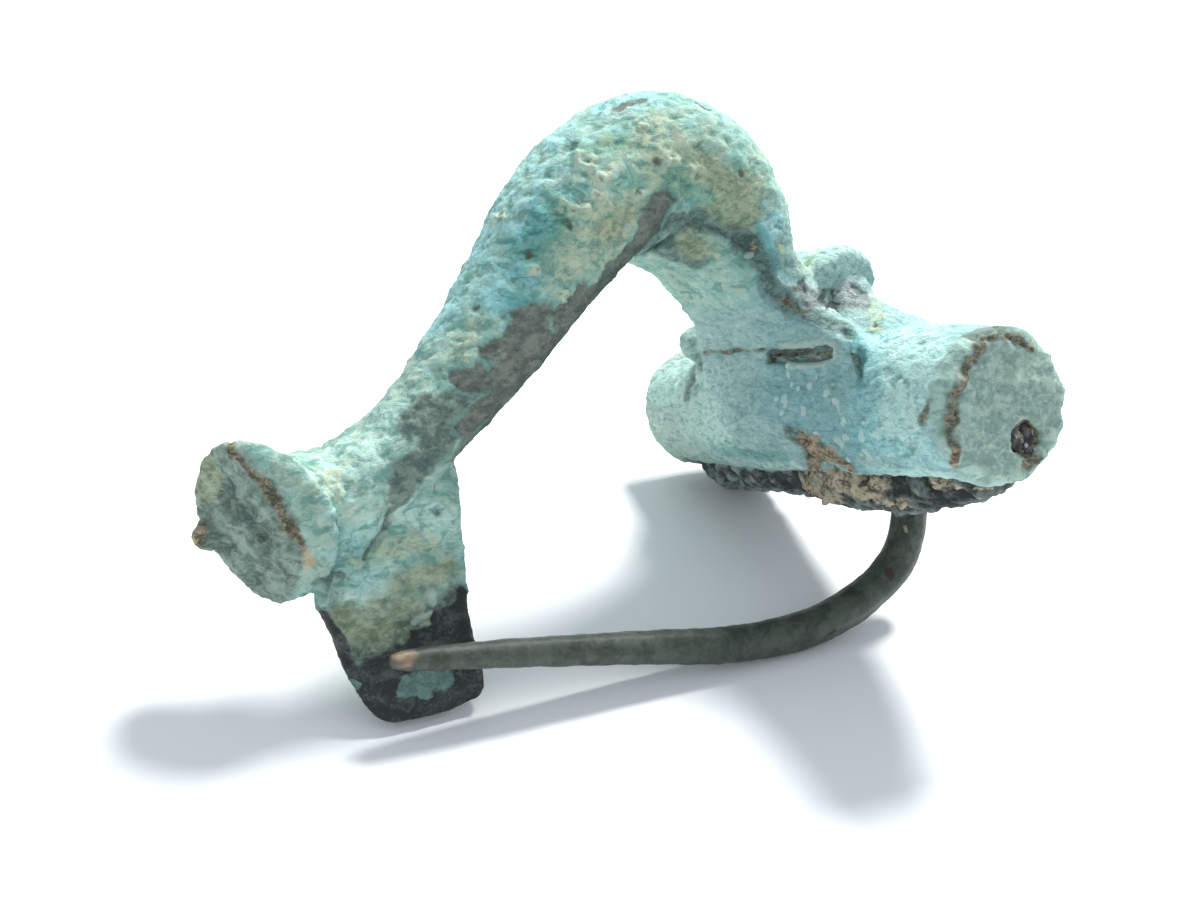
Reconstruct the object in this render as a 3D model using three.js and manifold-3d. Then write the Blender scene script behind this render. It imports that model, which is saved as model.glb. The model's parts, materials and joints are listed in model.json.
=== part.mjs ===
// A Roman knee brooch of cast bronze with its sprung pin, lying as it comes to rest.
// Millimetres. It is modelled upright first: the middle of the spring case is the zero point,
// +X runs from the foot towards the case, +Y to the far end of the case, +Z towards the knee.
// The whole brooch is then leaned over onto its catch plate, pin and far case end.
import * as THREE from "three";
import { mergeVertices } from "three/addons/utils/BufferGeometryUtils.js";
import Module from "manifold-3d";

// ---- driving dimensions ----
const gap = 0.3; // clearance between pieces that touch in the real brooch

const caseLength = 25.8; // across both end walls
const caseNearRadius = 3.5; // at the -Y end
const caseFarRadius = 3.3;
const caseMiddleRadius = 4.05; // the case swells where the bow joins it
const caseDepth = 1.07; // a little deeper front to back than it is high
const caseSwell = { near: 1.2, far: 2 }; // how quickly it falls away to each end
const caseRim = 0.45; // rounding of the two end rims
const hollowRadius = 2.75;
const endWall = 1.2;
const mouthFrontZ = -2.95; // lower edge of the front wall
const mouthBackZ = 1.0; // lower edge of the back wall
const mouthSplitX = -1.8; // where the mouth changes from the front edge to the back edge
const clear = 6; // far enough to cut right through the case
const mouthFrontX = -4; // front end of the cut

const axis = { x: 1.0, z: -1.6, radius: 0.65, recess: 0.25 }; // iron rod that the coil turns on
// The coil is swollen with corrosion, so it is off the rod; its -Y end is eaten away and leans forward.
const coil = {
  radius: 2.85, taper: 0.33, forward: 0.8, sudden: 5, groove: 0.3, offX: 0.3, offZ: -0.55, turn: 1.5,
};
const wireTop = 0.15; // half of the flat top of a turn, and where the gap to the last turn is, in turns
const wireGap = 0.46;
const crust = { radius: 2.3, x: 0.8, z: -3.15, from: -11.2, to: 5.5, blunt: 0.35 }; // dirt under the coil

const foot = {
  x: -30.35, z: -1.6, radius: 3.8, rim: 0.5, neck: 2.0, depth: 3.5, flare: 2.9, slope: 16, turn: 24,
};
// The foot's dished face, from its middle to its rim.
const footDish = [[0, -0.35], [1.4, -0.25], [2.2, 0.12], [foot.radius - 0.25, 0], [foot.radius, 0.2]];
const knob = { radius: 0.7, out: 3.3, down: 0.4 }; // worn stub near the edge of the foot's face

// The moulding across the back of the neck.
const bead = { x: -0.5, y: 0.2, z: 6.05, radius: 1.95, half: 3.5, edge: 0.5, end: 0.8 };
const chip = { size: 3, turn: 35, reach: 0.9, down: 1.17 }; // broken near end of that moulding
const lug = { x: -2.4, y: 7.1, z: 3.75, wide: 1.7, deep: 1.3, high: 1.15 }; // stub beside the fan's far edge

const slot = { half: 6.7, height: 0.8, depth: 0.5, x: -3.75, z: 2.9 }; // below the fan
// The rusted nick in the lower edge of the case.
const bite = { x: -2.7, y: -3.4, z: -2.9, deep: 1.76, wide: 1.1, high: 1.32 };

const rest = { lean: 28.1, pitch: 0.2 }; // degrees, how the brooch settles on a table

// Each station: middle of the section, half its thickness, half its width (Y),
// and how square its upper and lower halves are (2 is round).
const bowStations = [
  { x: -29.2, z: -1.3, thick: 1.4, wide: 1.4, over: 2, under: 2 },
  { x: -26.9, z: -0.8, thick: 2.0, wide: 2.1, over: 2, under: 2.2 },
  { x: -23.9, z: 0.7, thick: 1.95, wide: 2.3, over: 2, under: 2.6 },
  { x: -21.55, z: 2.55, thick: 2.1, wide: 2.5, over: 2, under: 2.8 },
  { x: -19.2, z: 4.8, thick: 2.35, wide: 2.75, over: 2.1, under: 3 },
  { x: -16.75, z: 7.45, thick: 2.8, wide: 3.0, over: 2.1, under: 3.2 },
  { x: -14.2, z: 10.3, thick: 3.2, wide: 3.3, over: 2.2, under: 3.4 },
  { x: -11.3, z: 12.2, thick: 3.4, wide: 3.5, over: 2.2, under: 3.6 },
  { x: -8.7, z: 12.85, thick: 3.25, wide: 3.6, over: 2.2, under: 3.6 },
  { x: -6.4, z: 11.7, thick: 2.85, wide: 3.6, over: 2.2, under: 3.4 },
  { x: -5.0, z: 9.6, thick: 2.2, wide: 3.5, over: 2.3, under: 3 },
  { x: -4.3, z: 7.4, thick: 1.7, wide: 3.3, over: 2.4, under: 3 },
  { x: -2.8, z: 5.0, thick: 1.9, wide: 3.3, over: 2.6, under: 3 },
  { x: -1.3, z: 2.6, thick: 2.0, wide: 3.4, over: 3, under: 3 },
];
const fanStations = [
  { x: -8.6, y: 0.4, z: 10.2, thick: 2.6, wide: 3.1, over: 2.6, under: 3 },
  { x: -6.9, y: 0.5, z: 8.4, thick: 1.45, wide: 3.4, over: 2.6, under: 3 },
  { x: -5.4, y: 0.7, z: 6.9, thick: 1.2, wide: 4.0, over: 3, under: 3.4 },
  { x: -4.3, y: 0.8, z: 5.8, thick: 1.15, wide: 4.4, over: 3, under: 3.6 },
  { x: -3.35, y: 1.0, z: 4.9, thick: 1.1, wide: 5.0, over: 3, under: 3.8 },
  { x: -2.85, y: 0.6, z: 4.1, thick: 1.15, wide: 6.1, over: 3, under: 4 },
  { x: -2.65, y: 0.0, z: 3.3, thick: 1.2, wide: 7.0, over: 3, under: 4 },
  { x: -2.65, y: -0.1, z: 2.0, thick: 1.2, wide: 7.4, over: 3, under: 4 },
  { x: -2.65, y: -0.1, z: 0.4, thick: 1.15, wide: 7.4, over: 3, under: 4 },
];
// The saddle behind the fan, where the neck runs out onto the top of the case.
const saddleStations = [
  { x: -0.3, y: -0.4, z: 6.4, thick: 1.3, wide: 2.9, over: 3, under: 2.4 },
  { x: -0.3, y: -0.6, z: 5.3, thick: 1.5, wide: 3.4, over: 3, under: 2.4 },
  { x: -0.2, y: -0.8, z: 4.5, thick: 2.0, wide: 4.5, over: 3, under: 2.4 },
  { x: -0.1, y: -1.0, z: 3.8, thick: 2.6, wide: 6.1, over: 3, under: 2.4 },
  { x: -0.1, y: -1.0, z: 3.0, thick: 2.6, wide: 6.5, over: 3, under: 2.4 },
];
// The catch plate, from the stem down: the lower part leans towards -Y and is worn thin.
// Its thickness lies along X, so these are half its breadth.
const plateStations = [
  { x: -24.55, y: 0.1, z: 0.4, thick: 3.4, wide: 0.8, over: 6, under: 6 },
  { x: -24.85, y: 0.05, z: -2.4, thick: 3.65, wide: 0.8, over: 6, under: 6 },
  { x: -24.9, y: 0.0, z: -4.8, thick: 3.6, wide: 0.75, over: 6, under: 6 },
  { x: -24.65, y: -0.1, z: -6.6, thick: 3.25, wide: 0.7, over: 6, under: 6 },
  { x: -24.4, y: -0.35, z: -8.4, thick: 3.15, wide: 0.65, over: 6, under: 6 },
  { x: -24.05, y: -0.6, z: -9.7, thick: 2.95, wide: 0.6, over: 6, under: 6 },
  { x: -23.95, y: -0.75, z: -10.5, thick: 2.7, wide: 0.55, over: 5, under: 5 },
  { x: -24.4, y: -0.85, z: -11.1, thick: 1.3, wide: 0.45, over: 3, under: 3 },
];
const pinStations = [
  { x: 2.7, y: -1.4, z: -1.7, thick: 0.85, wide: 0.85 },
  { x: 3.2, y: -1.4, z: -3.9, thick: 0.92, wide: 0.92 },
  { x: 3.3, y: -1.5, z: -6.1, thick: 0.95, wide: 0.95 },
  { x: 2.45, y: -1.6, z: -7.95, thick: 0.97, wide: 0.97 },
  { x: 0.55, y: -1.7, z: -9.4, thick: 0.97, wide: 0.97 },
  { x: -3.2, y: -1.8, z: -10.6, thick: 0.97, wide: 0.97 },
  { x: -8.0, y: -1.95, z: -10.65, thick: 0.92, wide: 0.92 },
  { x: -14.0, y: -2.1, z: -9.7, thick: 0.8, wide: 0.8 },
  { x: -20.0, y: -2.3, z: -8.75, thick: 0.68, wide: 0.68 },
  { x: -25.2, y: -2.4, z: -8.05, thick: 0.5, wide: 0.5 },
  { x: -26.1, y: -2.4, z: -7.95, thick: 0.3, wide: 0.3 },
];
// How finely each shape is faceted: sides around, steps along.
const facets = {
  bow: [22, 42], fan: [22, 14], saddle: [20, 8], plate: [20, 16], pin: [12, 40],
  barrel: [40, 14], disc: [32, 7], bead: 28, hollow: 36, bore: 16, rod: 12,
  coil: 22, crust: [14, 7], knob: [10, 8], nick: [10, 8], lug: [12, 8], slotEnd: 5,
};
const colors = { casting: 0x86b5a3, wire: 0x4c5546, iron: 0x4a4540 };
const acrossX = new THREE.Vector3(1, 0, 0); // the way in which the plate's and the saddle's "thick" runs
const weld = 1e-4; // points closer than this are one

// ---- joining and cutting ----
const wasm = await Module();
wasm.setup();

function solid(geometry) {
  const bare = geometry.clone();
  bare.deleteAttribute("normal");
  bare.deleteAttribute("uv");
  const merged = mergeVertices(bare, weld);
  return new wasm.Manifold(new wasm.Mesh({
    numProp: 3,
    vertProperties: Float32Array.from(merged.attributes.position.array),
    triVerts: Uint32Array.from(merged.index.array),
  }));
}

function geometryOf(manifold) {
  const { numProp, vertProperties, triVerts } = manifold.getMesh();
  const places = new Float32Array((vertProperties.length / numProp) * 3);
  for (let i = 0; i < places.length / 3; i++) {
    places.set(vertProperties.subarray(i * numProp, i * numProp + 3), i * 3);
  }
  const geometry = new THREE.BufferGeometry();
  geometry.setAttribute("position", new THREE.BufferAttribute(places, 3));
  geometry.setIndex(new THREE.BufferAttribute(Uint32Array.from(triVerts), 1));
  return geometry;
}

const joined = (parts) => parts.reduce((whole, part) => whole.add(part));
const radians = THREE.MathUtils.degToRad;

// ---- shapes ----
function curveOf(stations, fields) {
  const points = stations.map((s) => new THREE.Vector3(...fields.map((f) => s[f] ?? 0)));
  return new THREE.CatmullRomCurve3(points);
}

// One point of a section: a rounded square whose two halves differ.
function sectionPoint(angle, size, square) {
  const power = 2 / (Math.sin(angle) >= 0 ? square.x : square.y);
  const bent = (v) => Math.sign(v) * Math.abs(v) ** power;
  return { out: size.x * bent(Math.sin(angle)), side: size.y * bent(Math.cos(angle)) };
}

// A skin over stations whose spine lies close to a plane of constant Y.
// The thickness is square to the spine, or along a direction that is given.
function loft(stations, [sides, steps], fixedUp) {
  const spine = curveOf(stations, ["x", "y", "z"]);
  const sizes = curveOf(stations, ["thick", "wide"]);
  const squares = curveOf(stations.map((s) => ({ over: 2, under: 2, ...s })), ["over", "under"]);
  const places = [];
  const faces = [];
  for (let i = 0; i <= steps; i++) {
    const middle = spine.getPoint(i / steps);
    const along = spine.getTangent(i / steps);
    const up = fixedUp ?? new THREE.Vector3(-along.z, 0, along.x).normalize();
    for (let k = 0; k < sides; k++) {
      const angle = (2 * Math.PI * (k + 0.5)) / sides;
      const { out, side } = sectionPoint(angle, sizes.getPoint(i / steps), squares.getPoint(i / steps));
      places.push(middle.x + out * up.x, middle.y + side, middle.z + out * up.z);
    }
  }
  for (let i = 0; i < steps; i++) {
    for (let k = 0; k < sides; k++) {
      const [a, b] = [i * sides + k, i * sides + ((k + 1) % sides)];
      faces.push(a, b, a + sides, b, b + sides, a + sides);
    }
  }
  for (const [ring, last] of [[0, false], [steps, true]]) {
    const first = ring * sides;
    for (let k = 1; k < sides - 1; k++) {
      const pair = last ? [first + k, first + k + 1] : [first + k + 1, first + k];
      faces.push(first, ...pair);
    }
  }
  const geometry = new THREE.BufferGeometry();
  geometry.setAttribute("position", new THREE.Float32BufferAttribute(places, 3));
  geometry.setIndex(faces);
  return geometry;
}

// A turned shape whose axis is Y: pairs of radius and height.
function turned(profile, sides) {
  return new THREE.LatheGeometry(profile.map(([r, h]) => new THREE.Vector2(r, h)), sides);
}

function rodAlongY(radius, length, sides) {
  return turned([[0, -length / 2], [radius, -length / 2], [radius, length / 2], [0, length / 2]], sides);
}

function block(width, depth, height, x, y, z) {
  return new THREE.BoxGeometry(width, depth, height).translate(x, y, z);
}

// ---- the casting ----
function caseBarrel() {
  const half = caseLength / 2;
  const profile = [[0, -half], [caseNearRadius - caseRim, -half]];
  const [sides, steps] = facets.barrel;
  for (let i = 0; i <= steps; i++) {
    const y = (i / steps - 0.5) * (caseLength - 2 * caseRim);
    const end = y < 0 ? caseNearRadius : caseFarRadius;
    const swell = Math.cos((Math.PI * y) / caseLength) ** (y < 0 ? caseSwell.near : caseSwell.far);
    profile.push([THREE.MathUtils.lerp(end, caseMiddleRadius, swell), y]);
  }
  profile.push([caseFarRadius - caseRim, half], [0, half]);
  return turned(profile, sides).scale(caseDepth, 1, 1);
}

function caseMouth() {
  const inside = caseLength - 2 * endWall;
  const front = block(clear - mouthFrontX, inside, mouthFrontZ + clear,
    (clear + mouthFrontX) / 2, 0, (mouthFrontZ - clear) / 2);
  const back = block(clear - mouthSplitX, inside, mouthBackZ + clear,
    (clear + mouthSplitX) / 2, 0, (mouthBackZ - clear) / 2);
  return solid(front).add(solid(back));
}

function footDisc() {
  const { radius, rim, neck, depth, flare } = foot;
  const profile = [...footDish];
  const [sides, steps] = facets.disc;
  for (let i = 0; i <= steps; i++) {
    const t = i / steps;
    profile.push([neck + (radius - neck) * (1 - t) ** flare, rim + (depth - rim) * t]);
  }
  profile.push([0, depth]);
  const worn = new THREE.SphereGeometry(knob.radius, ...facets.knob).translate(-knob.out, 0, -knob.down);
  return solid(geometryOf(solid(turned(profile, sides)).add(solid(worn)))
    .rotateZ(-Math.PI / 2)
    .rotateY(radians(-foot.slope))
    .rotateZ(radians(foot.turn))
    .translate(foot.x, 0, foot.z));
}

function neckBead() {
  const { radius, half, edge, end } = bead;
  const profile = [
    [0, -half], [radius * end, -half], [radius, -half + edge],
    [radius, half - edge], [radius * end, half], [0, half],
  ];
  const broken = new THREE.BoxGeometry(2 * chip.size, chip.size, 2 * chip.size)
    .rotateX(radians(chip.turn))
    .translate(0, -half - chip.size / 2 + chip.reach, -chip.down);
  return solid(geometryOf(solid(turned(profile, facets.bead)).subtract(solid(broken)))
    .translate(bead.x, bead.y, bead.z));
}

function frontSlot() {
  const shape = new THREE.Shape();
  const end = slot.height / 2;
  shape.absarc(slot.half - end, 0, end, -Math.PI / 2, Math.PI / 2);
  shape.absarc(end - slot.half, 0, end, Math.PI / 2, (3 * Math.PI) / 2);
  shape.closePath();
  const cut = new THREE.ExtrudeGeometry(shape, {
    depth: slot.depth * 2,
    bevelEnabled: false,
    curveSegments: facets.slotEnd,
  });
  return solid(cut.translate(0, 0, -slot.depth).rotateX(Math.PI / 2).rotateZ(Math.PI / 2)
    .translate(slot.x, 0, slot.z));
}

function brooch() {
  const lofted = [
    loft(bowStations, facets.bow),
    loft(fanStations, facets.fan),
    loft(saddleStations, facets.saddle, acrossX),
    loft(plateStations, facets.plate, acrossX),
  ];
  const stub = new THREE.SphereGeometry(1, ...facets.lug)
    .scale(lug.wide, lug.deep, lug.high)
    .translate(lug.x, lug.y, lug.z);
  const body = joined([...lofted, caseBarrel(), stub].map(solid).concat(footDisc(), neckBead()));
  const hollow = rodAlongY(hollowRadius, caseLength - 2 * endWall, facets.hollow);
  const bore = rodAlongY(axis.radius + gap, caseLength + endWall, facets.bore)
    .translate(axis.x, 0, axis.z);
  const nick = new THREE.SphereGeometry(1, ...facets.nick)
    .scale(bite.deep, bite.wide, bite.high)
    .translate(bite.x, bite.y, bite.z);
  return geometryOf([solid(hollow), caseMouth(), solid(bore), solid(nick), frontSlot()]
    .reduce((whole, cut) => whole.subtract(cut), body));
}

// ---- the spring with its pin, and the rod it turns on ----
function coilOfWire() {
  const half = caseLength / 2 - endWall - gap;
  const turns = Math.round((2 * half) / coil.turn);
  const step = (2 * half) / turns;
  const eaten = (y) => Math.max(-y / half, 0) ** coil.sudden;
  const reach = (y) => coil.radius * (1 - coil.taper * eaten(y));
  const profile = [[0, -half]];
  for (let i = 0; i < turns; i++) {
    const middle = -half + step * (i + 0.5);
    const low = middle - step * wireGap;
    profile.push([reach(low) - coil.groove, low]);
    profile.push([reach(middle), middle - step * wireTop], [reach(middle), middle + step * wireTop]);
  }
  profile.push([reach(half) - coil.groove, half], [0, half]);
  const wire = turned(profile, facets.coil);
  const places = wire.attributes.position;
  for (let i = 0; i < places.count; i++) {
    places.setX(i, places.getX(i) - coil.forward * eaten(places.getY(i)));
  }
  return wire.translate(axis.x + coil.offX, 0, axis.z + coil.offZ);
}

function crustUnderCoil() {
  const long = crust.to - crust.from;
  const profile = [[0, crust.from]];
  const [sides, steps] = facets.crust;
  for (let i = 0; i <= steps; i++) {
    const y = crust.from + (long * (i + 0.5)) / (steps + 1);
    profile.push([crust.radius * Math.sin((Math.PI * (y - crust.from)) / long) ** crust.blunt, y]);
  }
  profile.push([0, crust.to]);
  return turned(profile, sides).translate(crust.x, 0, crust.z);
}

function springAndPin() {
  const bore = rodAlongY(axis.radius + gap, caseLength, facets.bore).translate(axis.x, 0, axis.z);
  const whole = joined([coilOfWire(), crustUnderCoil(), loft(pinStations, facets.pin)].map(solid));
  return geometryOf(whole.subtract(solid(bore)));
}

function springAxis() {
  return rodAlongY(axis.radius, caseLength - 2 * axis.recess, facets.rod).translate(axis.x, 0, axis.z);
}

// ---- the brooch, upright, then laid down ----
function piece(name, geometry, color, roughness, metalness) {
  const mesh = new THREE.Mesh(geometry, new THREE.MeshStandardMaterial({ color, roughness, metalness }));
  mesh.name = name;
  return mesh;
}

function laidDown(upright) {
  const leaned = new THREE.Group();
  leaned.rotation.set(radians(-rest.lean), radians(rest.pitch), 0, "XYZ");
  leaned.add(upright);
  const model = new THREE.Group();
  model.add(leaned);
  model.updateMatrixWorld(true);
  const box = new THREE.Box3().setFromObject(model, true);
  const middle = box.getCenter(new THREE.Vector3());
  leaned.position.set(-middle.x, -middle.y, -box.min.z);
  return model;
}

const upright = new THREE.Group();
upright.add(
  piece("brooch_body", brooch(), colors.casting, 0.85, 0.05),
  piece("spring_and_pin", springAndPin(), colors.wire, 0.6, 0.35),
  piece("spring_axis", springAxis(), colors.iron, 0.7, 0.4),
);

export default laidDown(upright);
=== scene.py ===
import json
import math

import bpy
import numpy as np
from mathutils import Euler, Matrix, Vector, noise


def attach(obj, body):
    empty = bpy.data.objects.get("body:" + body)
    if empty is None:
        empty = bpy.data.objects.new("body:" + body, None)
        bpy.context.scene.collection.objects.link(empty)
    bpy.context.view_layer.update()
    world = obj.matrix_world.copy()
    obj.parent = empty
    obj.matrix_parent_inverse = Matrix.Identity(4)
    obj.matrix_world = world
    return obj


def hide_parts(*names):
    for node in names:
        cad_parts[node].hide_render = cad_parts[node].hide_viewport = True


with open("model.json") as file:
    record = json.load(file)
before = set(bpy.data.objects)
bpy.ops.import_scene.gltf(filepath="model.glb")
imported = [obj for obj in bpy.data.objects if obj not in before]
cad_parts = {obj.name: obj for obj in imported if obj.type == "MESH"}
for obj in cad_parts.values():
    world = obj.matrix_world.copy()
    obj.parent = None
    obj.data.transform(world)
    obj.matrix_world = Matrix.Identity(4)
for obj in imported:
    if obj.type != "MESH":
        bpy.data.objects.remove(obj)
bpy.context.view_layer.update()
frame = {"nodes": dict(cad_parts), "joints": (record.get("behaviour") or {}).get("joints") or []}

mm = 0.001  # the frame is in metres, everything here is worked out in millimetres

# The brooch is dressed standing upright, in millimetres, and then laid down as the frame has it:
# zero is the middle of the spring case, X runs from foot to case, -Y is the near side, Z is up to the knee.
springJoint = frame["joints"][0]
standing = {"pitch": 0.2, "rod": (1.0, 0.0, -1.6)}  # degrees, and where the rod runs through the case
lean = math.atan2(springJoint["axis"][2], -springJoint["axis"][1])
turnUpright = Euler((lean, -math.radians(standing["pitch"]), 0)).to_matrix()
moveUpright = Vector(standing["rod"]) - turnUpright @ (Vector(springJoint["pos_m"]) / mm)
upright = Matrix.Translation(moveUpright) @ turnUpright.to_4x4() @ Matrix.Scale(1 / mm, 4)


def pickOnly(piece):
    bpy.ops.object.select_all(action="DESELECT")
    piece.select_set(True)
    bpy.context.view_layer.objects.active = piece


def addModifier(piece, kind, **settings):
    pickOnly(piece)
    modifier = piece.modifiers.new(kind, kind)
    for key, value in settings.items():
        setattr(modifier, key, value)
    bpy.ops.object.modifier_apply(modifier=modifier.name)


def copyOfNode(nodeName, pieceName):  # a CAD node's shape, standing upright, as a piece of its own
    mesh = frame["nodes"][nodeName].data.copy()
    mesh.materials.clear()
    mesh.transform(upright)
    piece = bpy.data.objects.new(pieceName, mesh)
    bpy.context.scene.collection.objects.link(piece)
    pickOnly(piece)
    bpy.ops.object.mode_set(mode="EDIT")
    bpy.ops.mesh.select_all(action="SELECT")
    bpy.ops.mesh.remove_doubles(threshold=0.001)
    bpy.ops.object.mode_set(mode="OBJECT")
    return piece


def joinTo(piece, other):
    pickOnly(piece)
    other.select_set(True)
    bpy.ops.object.join()


def thinTo(piece, triangles):  # keeps the detail and drops triangles where the surface is plain
    share = triangles / (2 * len(piece.data.polygons))  # most of its faces are still squares
    addModifier(piece, "DECIMATE", ratio=min(share, 1))


def layDown(piece, body, slotName, *nodes):
    piece.data.transform(upright.inverted())
    pickOnly(piece)
    bpy.ops.object.shade_smooth()
    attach(piece, body)
    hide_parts(*nodes)


# Tools for sculpting and painting a dense mesh in code.
def placesOf(piece):
    places = np.empty(len(piece.data.vertices) * 3, np.float32)
    piece.data.vertices.foreach_get("co", places)
    return places.reshape(-1, 3).astype(float)


def normalsOf(piece):
    normals = np.empty(len(piece.data.vertices) * 3, np.float32)
    piece.data.vertex_normals.foreach_get("vector", normals)
    return normals.reshape(-1, 3).astype(float)


def setPlaces(piece, places):
    piece.data.vertices.foreach_set("co", places.astype(np.float32).ravel())
    piece.data.update()


def cloudAt(places, size, octaves=3, shift=0.0, stretch=(1, 1, 1)):  # about -1 to 1
    points = (places * np.array(stretch) / size + shift).tolist()
    return np.array([noise.fractal(p, 1.0, 2.0, octaves) for p in points])


def cellsAt(places, size, shift=0.0):  # distance to the nearest cell's middle, and that cell's number
    near = []
    number = []
    for p in (places / size + shift).tolist():
        distances, middles = noise.voronoi(p)
        near.append(distances[0])
        number.append(noise.cell(middles[0] * 7.3))
    return np.array(near), np.array(number)


def ramp(values, low, high):  # 0 at low, 1 at high, smooth between
    t = np.clip((values - low) / (high - low), 0, 1)
    return t * t * (3 - 2 * t)


def awayFrom(places, points):  # distance from a line through the points
    away = np.full(len(places), np.inf)
    ends = np.array(points, float)
    for start, end in zip(ends, ends[1:] if len(ends) > 1 else ends):
        along = end - start
        share = np.clip((places - start) @ along / max(along @ along, 1e-9), 0, 1)
        away = np.minimum(away, np.linalg.norm(places - start - share[:, None] * along, axis=1))
    return away


# A stroke is a brush radius and then its points: 1 on the line, 0.5 at the radius.
def brushed(places, warp, strokes):
    paint = np.zeros(len(places))
    for radius, *points in strokes:
        away = awayFrom(places + warp * radius * casting["wander"], points)
        paint = np.maximum(paint, 1 - away / (2 * radius))
    return paint


def keep(piece, name, values):  # a value for every vertex, which the material reads by name
    attribute = piece.data.attributes.new(name, "FLOAT", "POINT")
    attribute.data.foreach_set("value", np.clip(values, 0, 1).astype(np.float32))


class Wire:  # one output of the shader being made, so that sums on it read as sums
    tree = None

    def __init__(self, socket):
        self.socket = socket

    @staticmethod
    def make(kind, settings, sockets, out=0):  # any node: its settings first, then its sockets
        node = Wire.tree.nodes.new("ShaderNode" + kind)
        for key, value in settings.items():
            setattr(node, key, value)
        for key, value in sockets.items():
            if isinstance(value, Wire):
                Wire.tree.links.new(value.socket, node.inputs[key])
            else:
                node.inputs[key].default_value = value
        return Wire(node.outputs[out])

    @staticmethod
    def maths(operation, *values):
        return Wire.make("Math", {"operation": operation}, dict(enumerate(values)))

    def __add__(self, other):
        return Wire.maths("ADD", self, other)

    def __sub__(self, other):
        return Wire.maths("SUBTRACT", self, other)

    def __rsub__(self, other):
        return Wire.maths("SUBTRACT", other, self)

    def __mul__(self, other):
        return Wire.maths("MULTIPLY", self, other)

    __radd__ = __add__
    __rmul__ = __mul__

    def between(self, low, high):  # 0 below low, 1 above high
        return Wire.make("MapRange", {"interpolation_type": "SMOOTHSTEP"},
                         {"Value": self, "From Min": low, "From Max": high})


def mixed(first, second, factor, blend="MIX"):  # colours
    sockets = {0: factor}
    for key, value in ((6, first), (7, second)):
        sockets[key] = value if isinstance(value, Wire) else (*value, 1)
    return Wire.make("Mix", {"data_type": "RGBA", "blend_type": blend}, sockets, out=2)


def grain(place, scale, detail=4, rough=0.6, twist=0.0):
    return Wire.make("TexNoise", {}, {"Vector": place, "Scale": scale, "Detail": detail,
                                      "Roughness": rough, "Distortion": twist})


def cells(place, scale):
    return Wire.make("TexVoronoi", {}, {"Vector": place, "Scale": scale})


def painted(name):
    return Wire.make("Attribute", {"attribute_type": "GEOMETRY", "attribute_name": name}, {}, out=2)


def stretched(place, turn, scale):
    return Wire.make("Mapping", {}, {"Vector": place, "Rotation": turn, "Scale": scale})


def startMaterial(name):
    material = bpy.data.materials.new(name)
    material.use_nodes = True
    Wire.tree = material.node_tree
    coordinates = Wire.make("TexCoord", {}, {}, out=3)
    place = stretched(coordinates, turnUpright.to_euler(), (1 / mm,) * 3)
    return material, Wire.tree.nodes["Principled BSDF"], place  # place is in standing millimetres


def feed(shader, **sockets):
    names = {"color": "Base Color", "rough": "Roughness", "metal": "Metallic", "normal": "Normal",
             "gloss": "Specular IOR Level"}
    for key, value in sockets.items():
        socket = shader.inputs[names[key]]
        if isinstance(value, Wire):
            Wire.tree.links.new(value.socket, socket)
        else:
            socket.default_value = value


def bumpOf(height, depth):  # depth in millimetres
    return Wire.make("Bump", {}, {"Height": height, "Strength": 1.0, "Distance": depth * mm})


print("frame loaded, casting next")

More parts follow.
